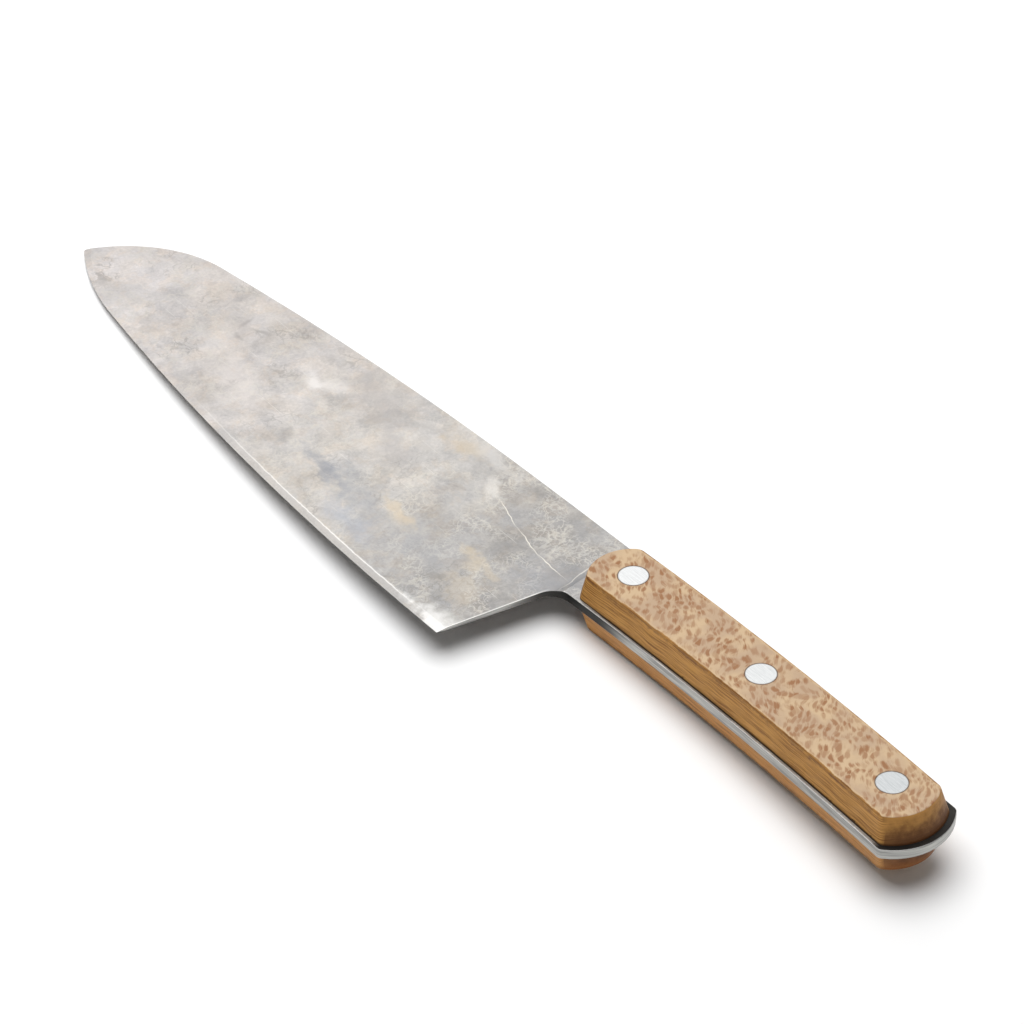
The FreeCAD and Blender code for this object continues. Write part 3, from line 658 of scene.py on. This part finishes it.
    def side(self, r: Recipe, rag: Socket, normal: Socket) -> Socket:
        """Lengthwise grain of the sides and the scorched corners and ends.

        Args:
            r: The material.
            rag: Noise that frays borders.
            normal: The surface normal.

        Returns:
            The colour.
        """
        wave = r.add("TexNoise", {"Vector": r.plan, "Scale": 1 / 22, "Detail": 2.0})
        height = r.add("Math", {0: wave, 1: 3.0, 2: r.z}, operation="MULTIPLY_ADD")
        drawn_out = r.add("Math", {0: r.x, 1: 1 / 14}, operation="MULTIPLY")
        across = r.add("Math", {0: height, 1: 1 / 0.32}, operation="MULTIPLY")
        lines = r.add("CombineXYZ", {0: drawn_out, 2: across})
        grain = r.add("TexNoise", {"Vector": lines, "Scale": 1.0, "Detail": 5.0, "Roughness": 0.6})
        grain = r.add("MapRange", {0: grain, LOW: 0.3, HIGH: 0.6}, **SMOOTH)
        colour = r.add(
            "Mix",
            {0: grain, UNDER: linear(self.side_dark), OVER: linear(self.side_light)},
            MIXED,
            **IN_COLOUR,
        )
        below_face = r.add("Math", {0: r.z, 1: self.shape.face_height}, operation="SUBTRACT")
        below_face = r.add("Math", {0: below_face}, operation="ABSOLUTE")
        ragged = r.add("Math", {0: rag, 1: 4.5, 2: below_face}, operation="MULTIPLY_ADD")
        scorch = r.add("MapRange", {0: ragged, LOW: 2.4, HIGH: 3.6, TO_LOW: 0.45, TO_HIGH: 0.0}, **SMOOTH)
        colour = r.add("Mix", {0: scorch, UNDER: colour, OVER: linear(self.end_dark)}, MIXED, **IN_COLOUR)
        colour = self.seam(r, rag, colour)
        end = r.add("Math", {0: r.add("SeparateXYZ", {0: normal}, "X")}, operation="ABSOLUTE")
        end = r.add("MapRange", {0: end, LOW: 0.35, HIGH: 0.85, TO_LOW: 0.0, TO_HIGH: 0.9}, **SMOOTH)
        blotched = r.add("Math", {0: rag, 1: 7.0, 2: below_face}, operation="MULTIPLY_ADD")
        low = r.add("MapRange", {0: blotched, LOW: 3.0, HIGH: 9.5}, **SMOOTH)
        end_grain = r.add(
            "Mix", {0: low, UNDER: linear(self.end_light), OVER: linear(self.end_dark)}, MIXED, **IN_COLOUR
        )
        return r.add("Mix", {0: end, UNDER: colour, OVER: end_grain}, MIXED, **IN_COLOUR)

    def seam(self, r: Recipe, rag: Socket, colour: Socket) -> Socket:
        """Painted shade: a dark line with small chips where the scale meets the tang, for the shadow in the
        gap between them.

        Args:
            r: The material.
            rag: Noise that frays borders.
            colour: Colour of the sides.

        Returns:
            The colour with the seam.
        """
        above = r.add("Math", {0: r.z, 1: self.shape.seam_height}, operation="SUBTRACT")
        above = r.add("Math", {0: above}, operation="ABSOLUTE")
        chips = r.add("MapRange", {0: rag, LOW: 0.58, HIGH: 0.75, TO_LOW: 0.0, TO_HIGH: -0.5}, **SMOOTH)
        ragged = r.add("Math", {0: above, 1: chips}, operation="ADD")
        share = r.add("MapRange", {0: ragged, LOW: 0.1, HIGH: 0.6, TO_LOW: 0.85, TO_HIGH: 0.0}, **SMOOTH)
        # painted shade: dark brown line for the shadowed gap at the foot of the scale
        return r.add("Mix", {0: share, UNDER: colour, OVER: linear("#1d1209")}, MIXED, **IN_COLOUR)

    def rivet_gap_shade(self, r: Recipe, colour: Socket) -> Socket:
        """Painted shade: a dark line round each rivet head for the narrow gap between head and wood, drawn
        0.3 mm wide so that it shows.

        Args:
            r: The material.
            colour: Colour of the wood.

        Returns:
            The colour with the lines.
        """
        radius = self.shape.head_radius
        for centre in self.shape.rivet_centres:
            reach = r.add("VectorMath", {0: r.plan, 1: centre}, "Value", operation="DISTANCE")
            limits = {0: reach, LOW: radius + 0.05, HIGH: radius + 0.4, TO_LOW: 0.8, TO_HIGH: 0.0}
            line = r.add("MapRange", limits, **SMOOTH)
            # painted shade of the gap round the rivet head
            colour = r.add("Mix", {0: line, UNDER: colour, OVER: linear("#4a3120")}, MIXED, **IN_COLOUR)
        return colour


@dataclass(frozen=True)
class SatinAluminium:
    """Aluminium rivet head, sanded flush with the wood to a satin face.

    It reads as nearly white metal with faint straight sanding lines and painted shade along its rim.
    """

    name: str
    centre: Point
    head_radius: float
    dull: str
    sheen: str
    sanding_turn: float

    def build(self) -> bpy.types.Material:
        """Wire the rivet's material.

        Returns:
            The material.
        """
        r = Recipe(self.name)
        turn = (0.0, 0.0, math.radians(self.sanding_turn))
        squeezed = r.add("Mapping", {"Vector": r.plan, "Rotation": turn, "Scale": (1 / 5, 1 / 0.3, 1.0)})
        lines = r.add("TexNoise", {"Vector": squeezed, "Scale": 1.0, "Detail": 5.0, "Roughness": 0.7})
        lines = r.add("MapRange", {0: lines, LOW: 0.35, HIGH: 0.62}, **SMOOTH)
        colour = r.add(
            "Mix", {0: lines, UNDER: linear(self.dull), OVER: linear(self.sheen)}, MIXED, **IN_COLOUR
        )
        reach = r.add("VectorMath", {0: r.plan, 1: self.centre}, "Value", operation="DISTANCE")
        limits = {0: reach, LOW: self.head_radius - 0.3, HIGH: self.head_radius, TO_LOW: 0.0, TO_HIGH: 0.75}
        rim_shade = r.add("MapRange", limits, **SMOOTH)
        # painted shade: the rim of the head darkened next to the gap
        colour = r.add("Mix", {0: rim_shade, UNDER: colour, OVER: linear("#77716a")}, MIXED, **IN_COLOUR)
        rough = r.add("MapRange", {0: lines, LOW: 0.0, HIGH: 1.0, TO_LOW: 0.46, TO_HIGH: 0.34})
        bump = r.add("Bump", {"Height": lines, "Strength": 0.2, "Distance": 0.02 * MM})
        inputs = {"Base Color": colour, "Metallic": 1.0, "Roughness": rough, "Normal": bump}
        return r.finish(r.add("BsdfPrincipled", inputs))


def dress(node: str, material: bpy.types.Material) -> None:
    """Give a carried-over node its finish.

    Args:
        node: Name of the node.
        material: The finish.
    """
    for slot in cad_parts[node].material_slots:
        slot.material = material
    LOG.info("%s dressed in %s", node, material.name)


@dataclass
class Blade:
    """The blade and its full tang. Sizes are in millimetres."""

    node: str = "blade_full_tang"
    blade_length: float = 209.0
    edge_radius: float = 1100.0
    edge_peak_from_heel: float = 30.4
    belly_curve_length: float = 32.3
    tip_lift: float = 21.1
    tip_radius: float = 1.0
    heel_lean: float = 7.8
    marks: tuple[Mark, ...] = (
        Mark((28.0, 13.0), 20.0, 7.0, 172.0, "#9a9da3", 0.45, 2.6),
        Mark((38.0, 13.6), 12.0, 3.0, 176.0, "#878b94", 0.42, 2.8, 0.9),
        Mark((-38.0, -4.0), 13.0, 12.0, 160.0, "#8f9196", 0.5, 2.0),
        Mark((-33.0, 28.0), 15.0, 4.0, 176.0, "#dfdedc", 0.6, 3.4),
        Mark((59.0, 14.5), 5.5, 2.6, 120.0, "#8d8a88", 0.35, 3.2),
        Mark((56.0, -16.0), 20.0, 9.0, 170.0, "#aaa5a3", 0.5),
        Mark((34.0, -6.0), 14.0, 6.0, 160.0, "#aca8a7", 0.45),
        Mark((-5.0, 13.0), 16.0, 8.0, 175.0, "#999a9d", 0.5),
        Mark((16.0, 22.0), 14.0, 4.6, 176.0, "#a5aab5", 0.5),
        Mark((12.0, 8.8), 9.0, 2.4, 176.0, "#cdbca2", 0.32, 3.2, 0.8),
        Mark((10.0, 9.6), 9.0, 3.4, 165.0, "#c8baa3", 0.35, 3.0),
        Mark((23.9, -22.1), 9.0, 4.2, 20.0, "#c2b299", 0.45, 3.0),
        Mark((-20.5, 4.6), 10.0, 2.0, 174.0, "#c6b69c", 0.3, 3.2, 0.8),
        Mark((-18.0, 5.6), 9.0, 3.0, 160.0, "#bfb29d", 0.35, 3.0),
        Mark((-25.0, 15.0), 9.0, 5.4, 160.0, "#c4b8a6", 0.32, 3.2, 0.8),
        Mark((104.5, -8.2), 4.4, 1.1, 25.0, "#918c8a", 0.5, 1.8),
        Mark((111.0, -7.0), 3.4, 0.9, 100.0, "#918c8a", 0.45, 1.8),
        Mark((107.0, -1.8), 4.6, 1.0, 165.0, "#8d8886", 0.5, 1.8),
        Mark((109.0, -4.0), 8.0, 4.6, 165.0, "#b5aeab", 0.45, 3.0),
        Mark((75.0, -6.0), 4.6, 3.2, 160.0, "#dfdbd8", 0.75, 2.2),
        Mark((70.0, -9.0), 7.0, 4.0, 30.0, "#e2dedb", 0.4),
        Mark((16.0, -25.0), 15.0, 2.8, 176.0, "#d2d0ce", 0.4),
        Mark((90.0, 10.0), 24.0, 8.0, 172.0, "#dad4d1", 0.4),
        Mark((-33.0, 26.0), 8.0, 5.0, 160.0, "#cfcecc", 0.5, 2.4),
        Mark((4.0, -17.0), 6.0, 3.4, 140.0, "#d8d5d0", 0.5, 3.2),
        Mark((-8.0, -13.5), 8.6, 0.2, 165.5, "#e6e1d6", 0.85, 0.4),
        Mark((-21.0, -10.2), 7.6, 0.2, 166.0, "#e6e1d6", 0.85, 0.4),
        Mark((-32.0, -8.8), 8.4, 0.18, 178.5, "#e6e1d6", 0.8, 0.4),
        Mark((-40.4, -12.8), 12.0, 0.25, 102.0, "#d3cfc7", 0.6, 0.4),
        Mark((-40.5, -12.8), 8.0, 0.2, 101.0, "#dad6ce", 0.4, 0.4),
        Mark((-35.8, -12.0), 14.0, 0.35, 94.0, "#918f8c", 0.4, 0.6),
    )

    def build(self, grip: Arc, grip_front: float) -> None:
        """Dress the blade in worn steel.

        Args:
            grip: Belly border of the wood, where it meets the tang.
            grip_front: Front end of the wood.
        """
        low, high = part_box(self.node)
        tip = high.x * PER_METRE
        edge_height = high.y * PER_METRE
        heel = tip - self.blade_length
        centre = Vector((heel + self.edge_peak_from_heel, edge_height - self.edge_radius, 0.0))
        belly_start = tip - self.belly_curve_length
        rise = math.sqrt(self.edge_radius**2 - (belly_start - centre.x) ** 2)
        joint = Vector((belly_start, centre.y + rise, 0.0))
        inward = (centre - joint).normalized()
        reach = joint - Vector((tip - self.tip_radius, edge_height - self.tip_lift, 0.0))
        span = 2.0 * (reach.dot(inward) + self.tip_radius)
        belly_radius = (self.tip_radius**2 - reach.dot(reach)) / span
        heel_rise = math.sqrt(self.edge_radius**2 - self.edge_peak_from_heel**2)
        lean = math.radians(self.heel_lean)
        steel = WornCarbonSteel(
            edge=Arc(tuple(centre), self.edge_radius),
            belly=Arc(tuple(joint + inward * belly_radius), belly_radius),
            grip=grip,
            belly_start=belly_start,
            heel=(heel, centre.y + heel_rise, 0.0),
            heel_normal=(math.cos(lean), -math.sin(lean), 0.0),
            grip_front=grip_front,
            butt=low.x * PER_METRE,
            spine=low.y * PER_METRE,
            tip=tip,
            marks=self.marks,
            mid_height=(low.z + high.z) / 2.0 * PER_METRE,
        )
        dress(self.node, steel.build())


@dataclass
class Handle:
    """The two scales and the rivets. Sizes are in millimetres."""

    bow_radius: float = 1300.0
    bow_peak_from_butt: float = 62.5
    spine_line_inset: float = 1.0
    scale_width: float = 21.4
    side_draft: float = 1.55
    head_radius: float = 4.0
    side_dark: dict[Side, str] = field(
        default_factory=lambda: {Side.UPPER: "#774615", Side.LOWER: "#945f2c"}
    )
    side_light: dict[Side, str] = field(
        default_factory=lambda: {Side.UPPER: "#c9934a", Side.LOWER: "#d39853"}
    )
    end_dark: dict[Side, str] = field(
        default_factory=lambda: {Side.UPPER: "#5b320d", Side.LOWER: "#4f2808"}
    )
    end_light: dict[Side, str] = field(
        default_factory=lambda: {Side.UPPER: "#c28c45", Side.LOWER: "#8f5420"}
    )
    shift: dict[Side, Point] = field(
        default_factory=lambda: {Side.UPPER: (0.0, 0.0, 0.0), Side.LOWER: (31.0, 17.0, 0.0)}
    )
    # painted light: the rivets are one aluminium, but the rear head gets darker tones and the front head
    # lighter ones, for how brightly each reflects
    dull: dict[Place, str] = field(
        default_factory=lambda: {Place.REAR: "#aaadae", Place.MIDDLE: "#bec0c0", Place.FRONT: "#cacbcb"}
    )
    sheen: dict[Place, str] = field(
        default_factory=lambda: {Place.REAR: "#bbbdbe", Place.MIDDLE: "#d0d1d1", Place.FRONT: "#dadbdb"}
    )
    sanding: dict[Place, float] = field(
        default_factory=lambda: {Place.REAR: 25.0, Place.MIDDLE: -38.0, Place.FRONT: -52.0}
    )

    def rivet_centre(self, place: Place) -> Point:
        """Axis of one rivet.

        Args:
            place: Which rivet.

        Returns:
            Its place in the plane of the knife.
        """
        low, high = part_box(f"{place.value}_rivet_male")
        middle = (low + high) / 2.0 * PER_METRE
        return (middle.x, middle.y, 0.0)

    def shape(self, side: Side) -> ScaleShape:
        """Where one scale's surfaces lie.

        Args:
            side: Which scale.

        Returns:
            Its shape.
        """
        blade_low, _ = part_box("blade_full_tang")
        low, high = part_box(f"{side.value}_scale")
        outer, inner = (high.z, low.z) if side is Side.UPPER else (low.z, high.z)
        centre_line = blade_low.y * PER_METRE + self.spine_line_inset + self.scale_width / 2
        half_face = self.scale_width / 2 - self.side_draft
        bow_middle = blade_low.x * PER_METRE + self.bow_peak_from_butt
        return ScaleShape(
            face_height=outer * PER_METRE,
            seam_height=inner * PER_METRE,
            bow_centre=(bow_middle, centre_line + self.bow_radius, 0.0),
            belly_border=self.bow_radius - half_face,
            spine_border=self.bow_radius + half_face,
            rivet_centres=tuple(self.rivet_centre(place) for place in Place),
            head_radius=self.head_radius,
        )

    def grip(self) -> tuple[Arc, float]:
        """Belly border of the wood where it meets the tang, and the wood's front end."""
        _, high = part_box(f"{Side.UPPER.value}_scale")
        border = self.bow_radius - self.scale_width / 2
        return Arc(self.shape(Side.UPPER).bow_centre, border), high.x * PER_METRE

    def build(self) -> None:
        """Dress the scales and the rivets."""
        for side in Side:
            wood = OiledLacewood(
                name=f"lacewood_oiled_{side.value}",
                shape=self.shape(side),
                side_dark=self.side_dark[side],
                side_light=self.side_light[side],
                end_dark=self.end_dark[side],
                end_light=self.end_light[side],
                shift=self.shift[side],
            )
            dress(f"{side.value}_scale", wood.build())
        for place in Place:
            metal = SatinAluminium(
                name=f"aluminium_satin_{place.value}",
                centre=self.rivet_centre(place),
                head_radius=self.head_radius,
                dull=self.dull[place],
                sheen=self.sheen[place],
                sanding_turn=self.sanding[place],
            ).build()
            for half in ("male", "female"):
                dress(f"{place.value}_rivet_{half}", metal)


@dataclass
class Studio:
    """Pale floor, soft light and the camera. Lengths are in metres and angles in degrees."""

    floor_size: float = 6.0
    tilt: float = 2.1
    clearance: float = 0.0001
    camera_place: Point = (-0.63961, 0.43110, 0.60116)
    camera_turn: Point = (52.5677, 1.2392, -126.1499)
    lens: float = 128.67
    sky: float = 0.18
    lamp_place: Point = (0.09, -0.01, 1.1)
    lamp_power: float = 14.2
    lamp_size: float = 1.3
    panel_place: Point = (1.0, -0.7, 0.95)
    panel_power: float = 6.4
    panel_size: float = 1.5

    def build(self) -> None:
        """Set out the floor, the light and the camera."""
        self.lay_floor()
        self.fill_room()
        self.hang_lamp("overhead_softbox", self.lamp_place, self.lamp_power, self.lamp_size, "DISK")
        self.hang_lamp("far_panel", self.panel_place, self.panel_power, self.panel_size, "SQUARE")
        self.place_camera()

    def lay_floor(self) -> None:
        """Lay the floor under the handle and the tip, which the knife tips down to."""
        slope = math.tan(math.radians(self.tilt))
        drop = min(v.co.z - slope * v.co.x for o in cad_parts.values() for v in o.data.vertices)
        bpy.ops.object.select_all(action="DESELECT")
        bpy.ops.mesh.primitive_plane_add(size=self.floor_size)
        floor = bpy.context.object
        floor.name = "studio_floor"
        for corner in floor.data.vertices:
            corner.co.z = slope * corner.co.x + drop - self.clearance
        recipe = Recipe("painted_board_matt_white")
        board = recipe.add("BsdfPrincipled", {"Base Color": linear("#fbfbfb"), "Roughness": 0.9})
        floor.data.materials.append(recipe.finish(board))

    def fill_room(self) -> None:
        """Fill the shadows with the dim light of a white room."""
        world = bpy.data.worlds.new("white_room")
        world.use_nodes = True
        world.node_tree.nodes["Background"].inputs["Color"].default_value = (1.0, 1.0, 1.0, 1.0)
        world.node_tree.nodes["Background"].inputs["Strength"].default_value = self.sky
        bpy.context.scene.world = world

    def hang_lamp(self, name: str, place: Point, power: float, size: float, shape: str) -> None:
        """Hang one area lamp that faces the knife.

        Args:
            name: Name of the lamp.
            place: Where it hangs.
            power: Its power in watts.
            size: Its width.
            shape: Outline of the lamp.
        """
        data = bpy.data.lights.new(name, "AREA")
        data.energy = power
        data.shape = shape
        data.size = size
        lamp = bpy.data.objects.new(name, data)
        lamp.location = place
        lamp.rotation_euler = (-Vector(place)).to_track_quat("-Z", "Y").to_euler()
        bpy.context.scene.collection.objects.link(lamp)

    def place_camera(self) -> None:
        """Place the camera and look through it."""
        lens = bpy.data.cameras.new("camera")
        lens.lens = self.lens
        lens.sensor_width = 36.0
        lens.clip_start = 0.01
        camera = bpy.data.objects.new("camera", lens)
        camera.location = self.camera_place
        camera.rotation_euler = tuple(math.radians(turn) for turn in self.camera_turn)
        bpy.context.scene.collection.objects.link(camera)
        bpy.context.scene.camera = camera
        bpy.context.scene.view_settings.view_transform = "Standard"


def main() -> None:
    """Build the knife's looks."""
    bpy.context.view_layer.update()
    handle = Handle()
    Blade().build(*handle.grip())
    handle.build()
    Studio().build()


if __name__ == "__main__":
    logging.basicConfig(level=logging.INFO, format="%(message)s")
    main()
